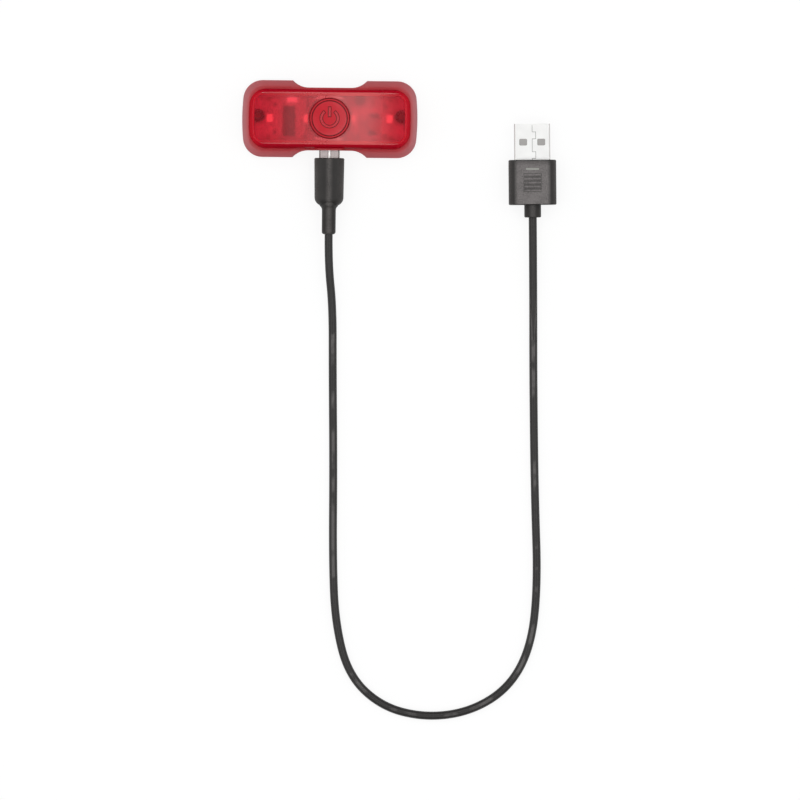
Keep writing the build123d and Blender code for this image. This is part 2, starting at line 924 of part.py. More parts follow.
with BuildPart() as plug_shell:
    extrude(
        port_outline(plug_tip, plug_width, plug_height, plug_cut), amount=plug_tail_end - plug_tip
    )
    extrude(
        port_outline(plug_tip, plug_width, plug_height, plug_cut, plug_wall),
        amount=plug_tail_end - plug_tip,
        mode=Mode.SUBTRACT,
    )
    with BuildSketch(port_plane(socket_front)):
        for way in (1, -1):
            with Locations((way * plug_seam_step, plug_height / 2)):
                Rectangle(plug_seam_width, 2 * plug_seam_depth)
    extrude(amount=plug_tail_end - socket_front, mode=Mode.SUBTRACT)
plug_shell.part.label = "plug_shell"
export_step(plug_shell.part, "parts/plug_shell.step")

with BuildPart() as plug_contacts:
    for pin in pins:
        with BuildSketch(port_plane(insert_front + pin_set_back)):
            with Locations((pin, plug_pin_high - (plug_pin_rise + plug_pin_sink) / 2)):
                Rectangle(plug_pin_width, plug_pin_rise + plug_pin_sink)
        extrude(amount=slot_end - insert_front - pin_set_back)
plug_contacts.part.label = "plug_contacts"
export_step(plug_contacts.part, "parts/plug_contacts.step")

with BuildPart() as plug_insert:
    extrude(
        port_outline(insert_front, plug_width, plug_height, plug_cut, plug_wall),
        amount=plug_tail_end - insert_front,
    )
    with BuildSketch(port_plane(insert_front)):
        with Locations((0, (slot_low + slot_high) / 2)):
            Rectangle(plug_slot_width, slot_high - slot_low)
    extrude(amount=slot_end - insert_front, mode=Mode.SUBTRACT)
    add(plug_contacts.part, mode=Mode.SUBTRACT)
plug_insert.part.label = "plug_insert"
export_step(plug_insert.part, "parts/plug_insert.step")

with BuildPart() as plug_latches:
    with BuildSketch(Plane.XY.offset(port_height + plug_height / 2)):
        for way in (1, -1):
            with Locations((way * latch_step, -plug_tip - latch_set_back - latch_size[1] / 2)):
                Rectangle(latch_size[0], latch_size[1])
    extrude(amount=latch_size[2])
plug_latches.part.label = "plug_latches"
export_step(plug_latches.part, "parts/plug_latches.step")

neck_start = grip_front + small_grip_length
port_axis = Axis((0, 0, port_height), (0, -1, 0))
with BuildPart() as small_grip:
    with BuildSketch(port_plane(grip_front)):
        RectangleRounded(small_grip_width, small_grip_height, small_grip_corner)
    extrude(amount=small_grip_length, taper=small_grip_taper)
    fillet(small_grip.faces().sort_by(Axis.Y)[0].edges(), small_grip_shoulder)
    fillet(small_grip.faces().sort_by(Axis.Y)[-1].edges(), small_grip_front_round)
    with BuildSketch(Plane.XY.offset(port_height)) as neck_profile:
        with BuildLine():
            Line((0, neck_root - neck_start), (neck_start_radius, neck_root - neck_start))
            Line((neck_start_radius, neck_root - neck_start), (neck_start_radius, -neck_start))
            flare = Spline(
                (neck_start_radius, -neck_start),
                (neck_waist_radius, -neck_start - neck_flare),
                tangents=((-1, -1), (0, -1)),
            )
            Line(flare @ 1, (neck_end_radius, -neck_end))
            Line((neck_end_radius, -neck_end), (0, -neck_end))
            Line((0, -neck_end), (0, neck_root - neck_start))
        make_face()
        neck_corner = Vector(neck_end_radius, -neck_end, port_height)
        fillet(neck_profile.vertices().sort_by_distance(neck_corner)[0], neck_end_round)
    revolve(axis=port_axis)
    extrude(
        port_outline(grip_front, plug_width, plug_height, plug_cut),
        amount=plug_tail,
        mode=Mode.SUBTRACT,
    )
small_grip.part.label = "small_grip"
export_step(small_grip.part, "parts/small_grip.step")


# Cord: straight runs joined by tangent arcs, each as large as its two runs allow

def corner_radius(before, corner, after):
    """0.45 of the shorter run, divided by the tangent of half the turn."""
    run_in = Vector(*corner) - Vector(*before)
    run_out = Vector(*after) - Vector(*corner)
    turn = math.radians(run_in.get_angle(run_out))
    return 0.45 * min(run_in.length, run_out.length) / math.tan(turn / 2)


cord_radii = [corner_radius(*cord_route[i - 1:i + 2]) for i in range(1, len(cord_route) - 1)]
with BuildPart() as charging_cord:
    with BuildLine() as cord_run:
        FilletPolyline(*cord_route, radius=cord_radii)
    cord_path = cord_run.wires()[0]
    with BuildSketch(Plane(cord_path @ 0, z_dir=cord_path % 0)):
        Circle(cord_diameter / 2)
    sweep(path=cord_path)
charging_cord.part.label = "charging_cord"
export_step(charging_cord.part, "parts/charging_cord.step")

cord_length = cord_path.length
cord_volume = math.pi * cord_diameter**2 / 4 * cord_length
print("cord bend radii:", [round(radius, 1) for radius in cord_radii])
print("cord length:", round(cord_length, 1))
print("cord volume:", round(charging_cord.part.volume, 2), "expected:", round(cord_volume, 2))


# Large plug: it points along the cord's last run

usb_end = Vector(*cord_route[-1])
usb_aim = (usb_end - Vector(*cord_route[-2])).normalized()
usb_across = usb_aim.cross(Vector(0, 0, 1))


def usb_plane(distance):
    """A plane across the large plug, at a distance from the end of the cord."""
    return Plane(origin=usb_end + usb_aim * distance, x_dir=-usb_across, z_dir=usb_aim)


def usb_level(height):
    """A level plane over the large plug's axis, its Y along the plug from the end of the cord."""
    return Plane(origin=usb_end + Vector(0, 0, height), x_dir=usb_across, z_dir=(0, 0, 1))


large_front = relief_length + large_grip_length
usb_tip = large_front + usb_length
usb_start = large_front - usb_tail

with BuildPart() as large_grip:
    with BuildSketch(usb_plane(relief_length)):
        RectangleRounded(large_grip_width, large_grip_height, large_grip_corner)
    extrude(amount=large_grip_length)
    end_edges = large_grip.edges().group_by(Axis(usb_end, usb_aim))
    fillet(end_edges[0] + end_edges[-1], large_grip_end_round)
    with BuildSketch(usb_plane(0)):
        Circle(relief_radius)
    extrude(amount=relief_length + relief_root)
    fillet(large_grip.edges().group_by(Axis(usb_end, usb_aim))[0], large_grip_end_round)
    with BuildSketch(usb_level(large_grip_height / 2 - mark_depth)):
        with Locations((0, large_front - mark_from_front)):
            RectangleRounded(mark_length, mark_width, mark_corner)
    extrude(amount=mark_depth, mode=Mode.SUBTRACT)
    with BuildSketch(usb_level(large_grip_height / 2 - rib_rise)):
        with Locations((0, large_front - ribs_from_front)):
            with GridLocations(0, rib_pitch, 1, rib_count):
                RectangleRounded(rib_length, rib_width, rib_corner)
    extrude(amount=2 * rib_rise)
    with BuildSketch(usb_plane(usb_start)):
        RectangleRounded(usb_width, usb_height, usb_corner)
    extrude(amount=usb_tail, mode=Mode.SUBTRACT)
large_grip.part.label = "large_grip"
export_step(large_grip.part, "parts/large_grip.step")

seam_turns = [usb_tip - turn for turn in seam_turns_from_tip]
with BuildPart() as usb_shell:
    with BuildSketch(usb_plane(usb_start)):
        RectangleRounded(usb_width, usb_height, usb_corner)
        RectangleRounded(
            usb_width - 2 * usb_wall,
            usb_height - 2 * usb_wall,
            usb_corner - usb_wall,
            mode=Mode.SUBTRACT,
        )
    extrude(amount=usb_tip - usb_start)
    with BuildSketch(usb_level(-usb_height)):
        with Locations((0, usb_tip - usb_hole_from_tip)):
            with GridLocations(2 * usb_hole_step, 0, 2, 1):
                RectangleRounded(usb_hole_length, usb_hole_width, usb_hole_corner)
    extrude(amount=2 * usb_height, mode=Mode.SUBTRACT)
    with BuildSketch(usb_level(usb_height / 2 - usb_wall)):
        with BuildLine():
            Polyline(
                (0, usb_tip),
                (0, seam_turns[0]),
                (seam_jog, seam_turns[0]),
                (seam_jog, seam_turns[1]),
                (0, seam_turns[1]),
                (0, seam_turns[2]),
                (seam_jog, seam_turns[2]),
                (seam_jog, seam_turns[3]),
                (0, seam_turns[3]),
                (0, large_front),
            )
        trace(line_width=seam_width)
    extrude(amount=usb_wall, mode=Mode.SUBTRACT)
usb_shell.part.label = "usb_shell"
export_step(usb_shell.part, "parts/usb_shell.step")

tongue_top = usb_height / 2 - usb_wall
tongue_end = usb_tip - usb_tongue_set_back
with BuildPart() as usb_tongue:
    with BuildSketch(usb_level(tongue_top - usb_tongue_height)):
        with Locations((0, (usb_start + tongue_end) / 2)):
            Rectangle(usb_width - 2 * usb_corner, tongue_end - usb_start)
    extrude(amount=usb_tongue_height)
usb_tongue.part.label = "usb_tongue"
export_step(usb_tongue.part, "parts/usb_tongue.step")

with BuildPart() as usb_contacts:
    with BuildSketch(usb_level(tongue_top - usb_tongue_height - usb_pin_thickness)):
        for pin, back in usb_pins:
            with Locations((pin, tongue_end - usb_pin_set_back - back - usb_pin_length / 2)):
                Rectangle(usb_pin_width, usb_pin_length)
    extrude(amount=usb_pin_thickness)
usb_contacts.part.label = "usb_contacts"
export_step(usb_contacts.part, "parts/usb_contacts.step")

print("front height:", front_height, "board back:", board_back, "plunger top:", plunger_top)
print("large plug tip:", [round(value, 3) for value in (usb_end + usb_aim * usb_tip)])
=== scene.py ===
# %% [markdown]
# # A red rear light and its charging cable
# The object is a flat, see-through rear light for a helmet. It lies on its back on white paper, with its
# charging cable plugged in and laid out in a loop. Every piece already has its real size and place in the
# packed model, so this lesson adds what a solid can't have: a camera, light, a cord that bends smoothly, and
# a finish for each surface. The first cell loads the model and leaves every piece where it is.

# %% Load the model
import math

import bpy
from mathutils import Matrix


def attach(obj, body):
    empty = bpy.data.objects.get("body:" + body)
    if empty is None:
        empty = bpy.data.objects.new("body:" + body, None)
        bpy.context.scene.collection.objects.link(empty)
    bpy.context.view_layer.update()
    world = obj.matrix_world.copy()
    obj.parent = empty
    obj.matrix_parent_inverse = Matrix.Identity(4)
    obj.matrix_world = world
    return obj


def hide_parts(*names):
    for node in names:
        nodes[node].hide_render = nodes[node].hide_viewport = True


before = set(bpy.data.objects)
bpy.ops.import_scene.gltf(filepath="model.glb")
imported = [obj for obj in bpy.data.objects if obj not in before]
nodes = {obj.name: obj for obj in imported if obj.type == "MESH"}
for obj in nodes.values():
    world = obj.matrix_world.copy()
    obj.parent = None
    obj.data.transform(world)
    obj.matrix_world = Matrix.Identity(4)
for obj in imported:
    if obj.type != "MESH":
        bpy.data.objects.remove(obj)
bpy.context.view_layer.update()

millimetre = 0.001

# %% [markdown]
# ## The camera
# The photograph was taken from straight above, with a long lens from a few metres away. A closer camera would
# show the walls of the light leaning outwards, and an endlessly far one would hide the lower wall, which the
# photograph shows. So the camera gets a real distance, and a focal length that fits the measured width of
# the picture. It is turned by half a degree, because the light lies turned by that much in the picture.

# %% The camera
sensor_width = 36.0
camera_distance = 3500 * millimetre
picture_width = 265.8 * millimetre
picture_level = 6 * millimetre
picture_centre = (24.24 * millimetre, -93.2 * millimetre)
picture_turn = math.radians(0.55)

camera_data = bpy.data.cameras.new("camera")
camera_data.sensor_width = sensor_width
camera_data.lens = sensor_width * camera_distance / picture_width
camera_data.clip_end = 20
camera = bpy.data.objects.new("camera", camera_data)
camera.location = (*picture_centre, picture_level + camera_distance)
camera.rotation_euler = (0, 0, picture_turn)
bpy.context.scene.collection.objects.link(camera)
bpy.context.scene.camera = camera
bpy.context.scene.view_settings.view_transform = "Standard"
print("focal length:", round(camera_data.lens, 1))

# %% [markdown]
# ## The cord
# The real cord is a round, fairly stiff jacket over four thin wires. It leaves the small plug level, comes
# down to the table, runs off nearly straight, turns once in a wide loop and comes back to the large plug.
# It could be a mesh tube, a cloth rope or a curve. A curve with a round bevel is the honest choice: its
# control points are the cord's own route, and the spline between them bends smoothly, as a jacket does. The
# bevel is one metre deep and each point scales it to the cord's radius, which keeps the curve's own box true.

# %% The cord
cord_diameter = 2.7 * millimetre
cord_route = (
    (0.0, -38.35, 5.3),
    (0.0, -48.3, 5.3),
    (1.55, -62.3, 1.5),
    (1.75, -84.0, 1.4),
    (2.3, -116.0, 1.4),
    (2.35, -146.0, 1.4),
    (3.35, -167.2, 1.4),
    (7.9, -184.8, 1.4),
    (18.9, -195.2, 1.4),
    (33.7, -198.8, 1.4),
    (48.8, -196.6, 1.4),
    (61.5, -188.5, 1.4),
    (68.65, -174.8, 1.4),
    (70.65, -154.2, 1.4),
    (69.35, -124.0, 1.4),
    (68.55, -88.0, 1.4),
    (68.3, -63.4, 1.5),
    (68.1, -51.0, 2.6),
    (67.94, -41.1, 4.0),
    (67.78, -32.1, 4.0),
)

cord_curve = bpy.data.curves.new("cord", "CURVE")
cord_curve.dimensions = "3D"
cord_curve.bevel_depth = 1.0
cord_curve.bevel_resolution = 7
cord_curve.resolution_u = 24
cord_curve.use_fill_caps = True
cord_spline = cord_curve.splines.new("NURBS")
cord_spline.points.add(len(cord_route) - 1)
for point, place in zip(cord_spline.points, cord_route):
    point.co = (*(value * millimetre for value in place), 1)
    point.radius = cord_diameter / 2
cord_spline.order_u = 3
cord_spline.use_endpoint_u = True
cord = bpy.data.objects.new("cord", cord_curve)
bpy.context.scene.collection.objects.link(cord)
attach(cord, "cable")
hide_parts("charging_cord")

# %% [markdown]
# ## Writing node trees as sums
# A finish is a small sum: a colour plus some grain, a roughness times some wear. Drawn as nodes, such a sum
# is hard to read. So one class wraps a node's socket and lets Python's own signs add the Math nodes. A second
# class holds one node tree and has a single method that adds any other node.

# %% Sockets that can be added and multiplied
class Value:
    """A node's output that takes part in Python sums."""

    def __init__(self, recipe, socket):
        self.recipe = recipe
        self.socket = socket

    def maths(self, operation, first, second=0.0):
        return self.recipe.node("ShaderNodeMath", {"operation": operation}, {0: first, 1: second})

    def __add__(self, other):
        return self.maths("ADD", self, other)

    def __sub__(self, other):
        return self.maths("SUBTRACT", self, other)

    def __rsub__(self, other):
        return self.maths("SUBTRACT", other, self)

    def __mul__(self, other):
        return self.maths("MULTIPLY", self, other)

    def __lt__(self, other):
        return self.maths("LESS_THAN", self, other)

    def __gt__(self, other):
        return self.maths("GREATER_THAN", self, other)

    def __abs__(self):
        return self.maths("ABSOLUTE", self)

    def larger(self, other):
        return self.maths("MAXIMUM", self, other)

    def smaller(self, other):
        return self.maths("MINIMUM", self, other)

    def root(self):
        return self.maths("SQRT", self)

    def rise(self, low, high):
        """0 below the low value, 1 above the high one, and a steady climb between."""
        sockets = {"Value": self, "From Min": low, "From Max": high}
        return self.recipe.node("ShaderNodeMapRange", None, sockets)

    __radd__ = __add__
    __rmul__ = __mul__


print("sums and steps on sockets:", [name for name in vars(Value) if not name.startswith("__")])


# %% One node tree and the method that adds to it
class Recipe:
    """A node tree. Its node method sets a node's settings first and its sockets after them."""

    def __init__(self, tree, output_kind):
        self.tree = tree
        self.tree.nodes.clear()
        self.output = self.tree.nodes.new(output_kind)

    def node(self, kind, settings=None, sockets=None, out=0):
        made = self.tree.nodes.new(kind)
        for name, value in (settings or {}).items():
            if name == "stops":
                self.set_stops(made.color_ramp.elements, value)
            else:
                setattr(made, name, value)
        for name, value in (sockets or {}).items():
            if isinstance(value, Value):
                self.tree.links.new(value.socket, made.inputs[name])
            else:
                made.inputs[name].default_value = value
        return Value(self, made.outputs[out])

    def set_stops(self, elements, stops):
        while len(elements) < len(stops):
            elements.new(1)
        for element, (place, shade) in zip(elements, stops):
            element.position = place
            element.color = (shade, shade, shade, 1)

    def finish(self, name, value):
        self.tree.links.new(value.socket, self.output.inputs[name])

    def mix(self, factor, first, second):
        """A colour between two, by a factor."""
        return self.node("ShaderNodeMix", {"data_type": "RGBA"}, {0: factor, 6: first, 7: second}, out=2)

    def blend(self, factor, first, second):
        """A shader between two, by a factor."""
        return self.node("ShaderNodeMixShader", None, {0: factor, 1: first, 2: second})

    def surface(self, sockets):
        """The shader that every solid finish ends in."""
        return self.node("ShaderNodeBsdfPrincipled", None, sockets)


print("helpers:", Value.__name__, Recipe.__name__)

# %% [markdown]
# ## The table
# White paper under the object. It could be lit until it turns white, but the same light would then bleach
# the object. So the camera sees a share of plain white in the paper, whatever the lamps do, and the rest is
# ordinary paper that keeps a faint shadow of the object. Metal and see-through plastic show the same white.

# %% The table
paper_size = 8.0
paper_drop = 0.05 * millimetre
paper_colour = (0.93, 0.93, 0.93, 1)
paper_white_share = 0.86

paper_mesh = bpy.data.meshes.new("paper")
half = paper_size / 2
paper_mesh.from_pydata(
    [(-half, -half, 0), (half, -half, 0), (half, half, 0), (-half, half, 0)], [], [(0, 1, 2, 3)]
)
paper = bpy.data.objects.new("paper", paper_mesh)
paper.location = (0, 0, -paper_drop)
bpy.context.scene.collection.objects.link(paper)

paper_material = bpy.data.materials.new("paper")
paper_material.use_nodes = True
recipe = Recipe(paper_material.node_tree, "ShaderNodeOutputMaterial")
seen = (
    recipe.node("ShaderNodeLightPath", out="Is Camera Ray")
    + recipe.node("ShaderNodeLightPath", out="Is Glossy Ray")
    + recipe.node("ShaderNodeLightPath", out="Is Transmission Ray")
)
white = recipe.node("ShaderNodeEmission", None, {"Color": (1, 1, 1, 1), "Strength": 1.0})
matt = recipe.node("ShaderNodeBsdfDiffuse", None, {"Color": paper_colour})
recipe.finish("Surface", recipe.blend((seen > 0.5) * paper_white_share, matt, white))
paper_mesh.materials.append(paper_material)
print("paper:", paper_size, "m")

# %% [markdown]
# ## The light
# A product photograph of this kind has a white tent round the table, and soft light from above that leaves
# a darker opening round the lens. The tent is the world, so its brightness depends on how high one looks,
# and it is brighter to the left and right, where the lamps stand behind the cloth. Polished flat places
# mirror the darker opening and look deep, satin ones gather the bright cloth round it and look hazy. A small
# lamp beyond the top edge draws the fine highlights on rims and raised lines.

# %% The tent
tent_brightest = 2.2
tent_shares = (
    (0.0, 0.15),
    (0.3, 0.2),
    (0.6, 0.35),
    (0.78, 0.5),
    (0.86, 1.0),
    (0.945, 1.0),
    (0.98, 0.13),
    (1.0, 0.1),
)
side_gain = 0.8

world = bpy.data.worlds.new("tent")
world.use_nodes = True
bpy.context.scene.world = world
recipe = Recipe(world.node_tree, "ShaderNodeOutputWorld")
looking = recipe.node("ShaderNodeTexCoord", out="Generated")
across, along, height = [
    recipe.node("ShaderNodeSeparateXYZ", None, {0: looking}, out=axis) for axis in "XYZ"
]
glow = recipe.node("ShaderNodeValToRGB", {"stops": tent_shares}, {0: height})
sides = 1 + side_gain * (across * across - along * along)
tent = recipe.node("ShaderNodeBackground", None, {0: glow, 1: tent_brightest * sides})
plain_white = recipe.node("ShaderNodeBackground", None, {0: (1, 1, 1, 1), 1: 1.0})
straight = recipe.node("ShaderNodeLightPath", out="Is Camera Ray")
recipe.finish("Surface", recipe.blend(straight, tent, plain_white))
print("tent stops:", len(tent_shares))


# %% The lamps
def area_lamp(name, place, aim, width, length, brightness):
    """An area lamp whose face has a given brightness, where 1 is white."""
    data = bpy.data.lights.new(name, "AREA")
    data.shape = "RECTANGLE"
    data.size = width
    data.size_y = length
    data.energy = brightness * math.pi * width * length
    lamp = bpy.data.objects.new(name, data)
    lamp.location = place
    direction = [a - b for a, b in zip(aim, place)]
    flat = math.hypot(direction[0], direction[1])
    tilt = math.atan2(flat, -direction[2])
    heading = math.atan2(direction[1], direction[0]) - math.pi / 2
    lamp.rotation_euler = (tilt, 0, heading)
    bpy.context.scene.collection.objects.link(lamp)
    return lamp


rim_lamp_place = (-0.2, 0.75, 1.2)
rim_lamp_side = 0.16
rim_lamp_brightness = 12
area_lamp("rim_lamp", rim_lamp_place, (0.0, 0.0, 0.0), rim_lamp_side, rim_lamp_side, rim_lamp_brightness)


# %% [markdown]
# ## How a finish is put together
# Each finish starts from the place on the object, in metres, because that place moves with its piece and
# needs no unwrapping. Noise of the right size gives the grain. The grain tips the surface a little through a
# Bump node, and the same noise makes the colour and the roughness uneven, as on a real moulding.

# %% Tools for finishes
def new_finish(name):
    """A material with an empty recipe."""
    material = bpy.data.materials.new(name)
    material.use_nodes = True
    return material, Recipe(material.node_tree, "ShaderNodeOutputMaterial")


def place_on(recipe):
    """The place on the object, in metres."""
    return recipe.node("ShaderNodeTexCoord", out="Object")


def steps_on(recipe, size):
    """The place on the object, counted in steps of a size in metres."""
    sockets = {0: place_on(recipe), "Scale": 1 / size}
    return recipe.node("ShaderNodeVectorMath", {"operation": "SCALE"}, sockets)


def axes_on(recipe):
    """The place on the object along X, Y and Z, in millimetres."""
    place = steps_on(recipe, millimetre)
    return [recipe.node("ShaderNodeSeparateXYZ", None, {0: place}, out=axis) for axis in "XYZ"]


def noise(recipe, grain, detail=2.0, stretch=(1, 1, 1)):
    """Noise from 0 to 1 whose patches are about a grain wide, longer along a stretched axis."""
    scale = [1 / (grain * long) for long in stretch]
    place = recipe.node("ShaderNodeVectorMath", {"operation": "MULTIPLY"}, {0: place_on(recipe), 1: scale})
    return recipe.node("ShaderNodeTexNoise", None, {"Vector": place, "Scale": 1.0, "Detail": detail})


def bump(recipe, height, depth):
    """A normal tipped by a height pattern of a depth in metres."""
    return recipe.node("ShaderNodeBump", None, {"Height": height, "Strength": 1.0, "Distance": depth})


def within(x, y, centre, half_size):
    """1 inside an upright rectangle, and 0 outside it."""
    return (abs(x - centre[0]) < half_size[0]) * (abs(y - centre[1]) < half_size[1])


def dress(material, *names):
    """Gives nodes of the packed model a finish."""
    for name in names:
        nodes[name].material_slots[0].material = material
    print(material.name, "on", ", ".join(names))


plastic_ior = 1.55
print("refractive index of the clear plastics:", plastic_ior)


# %% [markdown]
# ## See-through red plastic
# The front shell is clear polycarbonate dyed red. Three things make its look. Light that crosses it loses
# green and blue with every millimetre. The mould is etched inside, which blurs the board behind it, and the
# outside is satin over the middle and polished towards the ends. And some light goes round inside the
# plastic and comes back out: little from the thin face, more over the collar round the button, and most from
# the rounded edge, the flange and the walls, where the eye looks along the plastic. The first two are a
# rough glass with a volume that absorbs. The third is a plain red that is mixed in, and how much of it
# depends mostly on how far a place is from the outline of the body. That plain red also carries painted
# light: it is painted darker on the rounded edge and the walls, a painted shade, and paler on the satin
# middle and the flange, a painted sheen.

# %% How far a place is from the outline of the body
body_half_length = 26.85
body_half_width = 9.85
body_corner = 5.0
end_radius = 70.0


def outline_distance(x, y):
    """Millimetres outside the body's outline, or inside it where the value is below zero."""
    bowed = abs(x) + y * y * (0.5 / end_radius)
    past_x = bowed - (body_half_length - body_corner)
    past_y = abs(y) - (body_half_width - body_corner)
    out_x = past_x.larger(0.0)
    out_y = past_y.larger(0.0)
    corner = (out_x * out_x + out_y * out_y).root()
    return corner + past_x.larger(past_y).smaller(0.0) - body_corner


print("outline:", 2 * body_half_length, "by", 2 * body_half_width, "mm")

# %% The front shell's colours
glass_colour = (0.998, 0.04, 0.26, 1)
glass_density = 1300.0
face_red = (0.95, 0.01, 0.04, 1)
# The milky colours of the satin middle are paler than the dye, a painted sheen.
face_sheen_red = (1.0, 0.165, 0.175, 1)
# The colours of the rounded edge and the walls are painted darker than the dye, a painted shade.
edge_shade_red = (0.5, 0.01, 0.022, 1)
edge_sheen_red = (0.7, 0.055, 0.06, 1)
wall_shade_red = (0.36, 0.002, 0.012, 1)
end_wall_shade_red = (0.45, 0.008, 0.018, 1)
# The flange colours are paler than the dye, partly its frosted skin and partly a painted sheen, most at its
# ends.
root_sheen_red = (0.52, 0.042, 0.05, 1)
rim_sheen_red = (0.41, 0.066, 0.075, 1)
end_root_sheen_red = (0.54, 0.1, 0.11, 1)
end_rim_sheen_red = (0.41, 0.13, 0.145, 1)
print("glass colour:", glass_colour[:3], "density:", glass_density)

# %% How much plain red is mixed in, and how rough the surface is
face_cloud = 0.16
milk_cloud = 0.1
end_cloud = 0.22
edge_cloud = 0.75
end_round_cloud = 0.9
collar_cloud = 0.5
wall_cloud = 0.985
flange_cloud = 0.85
polished_rough = 0.07
satin_rough = 0.37
flange_rough = 0.34
etched_rough = 0.38
satin_steps = ((0.46, -22.0, -13.0), (0.14, -9.0, -5.0), (0.4, -1.0, 4.0))
satin_fade = (12.5, 23.0)
satin_lost = 0.95
print("roughness outside:", polished_rough, "to", polished_rough + satin_rough, "inside:", etched_rough)

# %% Where the parts of the front shell lie, in millimetres
face_inside = 11.2
cavity_outline = -1.2
hole_radius = 6.75
hole_line = (0.08, 0.22)
flange_start = (0.0, 0.1)
wall_start = (-1.3, -1.1)
side_round = (7.25, 7.6)
end_round = (-2.0, -1.75)
end_round_ends = (21.5, 23.0)
shell_ends = (22.0, 25.0)
screw_sides = (1.5, 4.0)
collar_reach = (7.9, 9.0)
collar_sides = (5.6, 6.6)
flange_width = (0.4, 2.3)
flange_ends = (22.0, 27.0)
flange_corners = (5.0, 10.0)
flange_root = (-0.2, 0.3)
shiny_rim = (0.3, 1.3)
upper_wall = (5.5, 7.5)
print("face inside at", face_inside, "mm, hole", 2 * hole_radius, "mm across")

# %% The patterns on the front shell
lens, recipe = new_finish("red_lens")
x, y, z = axes_on(recipe)
outline = outline_distance(x, y)
radius = (x * x + y * y).root()
skin = noise(recipe, 0.3 * millimetre)
cloud = noise(recipe, 5 * millimetre)
speck = noise(recipe, 0.4 * millimetre)
inside = (outline < cavity_outline) * (z < face_inside)
flange = outline.rise(*flange_start)
hole = 1 - abs(radius - hole_radius).rise(*hole_line)
wall = (outline.rise(*wall_start) * (1 - flange)).larger(hole)
near_edge = abs(y).rise(*side_round)
near_end = outline.rise(*end_round) * abs(x).rise(*end_round_ends) * (z > face_inside)
at_end = abs(x).rise(*shell_ends)
beside_screw = at_end * abs(y).rise(*screw_sides)
over_collar = (1 - radius.rise(*collar_reach)) * abs(y).rise(*collar_sides)
satin = sum(share * x.rise(low, high) for share, low, high in satin_steps)
satin = satin * (1 - satin_lost * x.rise(*satin_fade))
uneven = (0.85 + 0.3 * cloud) * (0.5 + speck)
dull = (polished_rough + satin_rough * satin * uneven).larger(flange_rough * flange)
share = face_cloud + milk_cloud * satin + end_cloud * beside_screw
for part_cloud, part in (
    (edge_cloud, near_edge),
    (end_round_cloud, near_end),
    (collar_cloud, over_collar),
    (wall_cloud, wall),
    (flange_cloud, flange),
):
    share = share.larger(part_cloud * part)
print("patterns on the front shell:", len(recipe.tree.nodes), "nodes")

# %% The plain red of the front shell, with its painted shade and sheen
face_colour = recipe.mix(satin, face_red, face_sheen_red)
edge_colour = recipe.mix(satin, edge_shade_red, edge_sheen_red)
face_colour = recipe.mix(near_edge.larger(near_end), face_colour, edge_colour)
wall_colour = recipe.mix(at_end, wall_shade_red, end_wall_shade_red)
outwards = outline.rise(*flange_width)
flange_colour = recipe.mix(
    abs(x).rise(*flange_ends) * (1 - 0.75 * abs(y).rise(*flange_corners)),
    recipe.mix(outwards, root_sheen_red, rim_sheen_red),
    recipe.mix(outwards, end_root_sheen_red, end_rim_sheen_red),
)
flange_colour = recipe.mix(outline.rise(*flange_root), wall_colour, flange_colour)
dye_shade_and_sheen = recipe.mix(flange, recipe.mix(wall, face_colour, wall_colour), flange_colour)
no_shine = (wall * (0.6 + 0.39 * z.rise(*upper_wall))).larger(0.95 * near_end)
no_shine = no_shine.larger(0.8 * flange * (1 - outline.rise(*shiny_rim)))
print("with its colours:", len(recipe.tree.nodes), "nodes")

# %% The front shell
tipped = bump(recipe, skin, 0.001 * millimetre)
glass = recipe.surface(
    {
        "Base Color": (1.0, 1.0, 1.0, 1),
        "Roughness": dull.larger(etched_rough * inside),
        "IOR": plastic_ior,
        "Transmission Weight": 1.0,
        "Normal": tipped,
    }
)
plain_red = recipe.surface({"Base Color": dye_shade_and_sheen, "Roughness": dull, "IOR": plastic_ior, "Normal": tipped})
deep = recipe.surface({"Base Color": dye_shade_and_sheen, "Specular IOR Level": 0.0})
plain_red = recipe.blend(no_shine, plain_red, deep)
recipe.finish("Surface", recipe.blend(share * (1 - inside), glass, plain_red))
absorbing = {"Color": glass_colour, "Density": glass_density}
recipe.finish("Volume", recipe.node("ShaderNodeVolumeAbsorption", None, absorbing))
dress(lens, "front_shell")

# %% [markdown]
# ## The push button
# The cap is moulded from the same red with some white in it, so that it glows evenly and hides the switch
# under it. A groove runs inside its rim, and a raised ring with a bar stands in its dish. Their sides are too
# steep and too narrow to catch light, so they are painted as deep red lines, a painted shade, and their
# rounded tops catch the lamp. The outer edge of the cap gets the same painted shade. The distance to the
# symbol's outline gives both: a dark painted line just outside it, and a soft crown inside it.

# %% How far a place is from the symbol on the button
ring_radius = 2.75
ring_half_line = 0.35
ring_opening = math.radians(38)
bar_middle = 2.175
bar_half_length = 1.575


def symbol_distance(x, y, radius):
    """Millimetres outside the symbol's outline, or inside it where the value is below zero."""
    ring = abs(radius - ring_radius) - ring_half_line
    past_opening = abs(x) * math.cos(ring_opening) - y * math.sin(ring_opening)
    ring = ring.larger(0 - past_opening)
    bar = (abs(x) - ring_half_line).larger(abs(y - bar_middle) - bar_half_length)
    return ring.smaller(bar)


print("symbol across:", 2 * (ring_radius + ring_half_line), "mm")

# %% The push button
button_red = (0.46, 0.011, 0.021, 1)
button_red_pale = (0.52, 0.018, 0.03, 1)
button_shade_red = (0.15, 0.001, 0.004, 1)
groove_radius = 5.82
groove_line = (0.1, 0.26)
rim_radius = 6.6
symbol_side = 0.1
symbol_side_line = (0.06, 0.2)
crown_width = 0.25
crown_depth = 0.12 * millimetre

